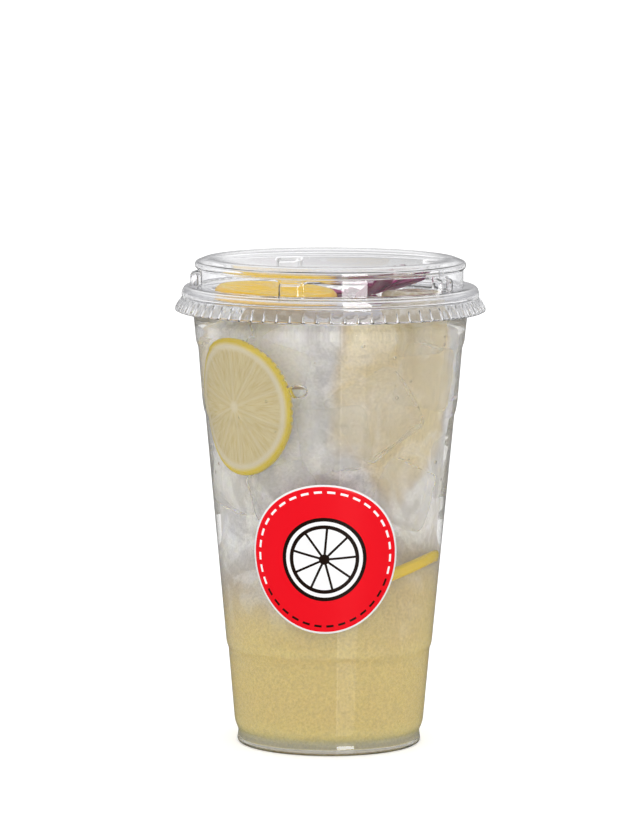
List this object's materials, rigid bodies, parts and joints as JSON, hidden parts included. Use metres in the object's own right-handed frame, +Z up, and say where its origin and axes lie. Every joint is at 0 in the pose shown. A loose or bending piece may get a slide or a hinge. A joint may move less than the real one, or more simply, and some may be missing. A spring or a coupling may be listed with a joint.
{
  "type": "iced lemonade in a lidded clear takeaway cup",
  "caption": "Clear takeaway cup of pale iced lemonade with a low clear lid, a lemon slice, ice and an orchid under the lid, and a round red sticker.",
  "frame": {"origin": "middle of the foot ring's lower plane, where the cup stands", "axes": "+Z up along the cup's axis, -Y towards the front with the sticker, +X to the right as seen from the front"},
  "size_m": [0.1054, 0.1054, 0.1659],
  "materials": {
    "cup_sheet": "clear formed PET sheet, glossy",
    "lid_sheet": "clear formed PET sheet, glossy",
    "lemonade": "cloudy pale lemonade",
    "sticker_paper": "printed paper sticker with a satin varnish",
    "lemon": "wet lemon peel and flesh",
    "petal": "soft orchid petal",
    "ice": "wet ice"
  },
  "bodies": {
    "root": {"cup": "cup_sheet", "lid": "lid_sheet", "drink": "lemonade", "label": "sticker_paper", "lemon_slice": "lemon", "orchid": "petal", "ice_low": "ice", "ice_back": "ice", "ice_tall": "ice"}
  },
  "joints": []
}
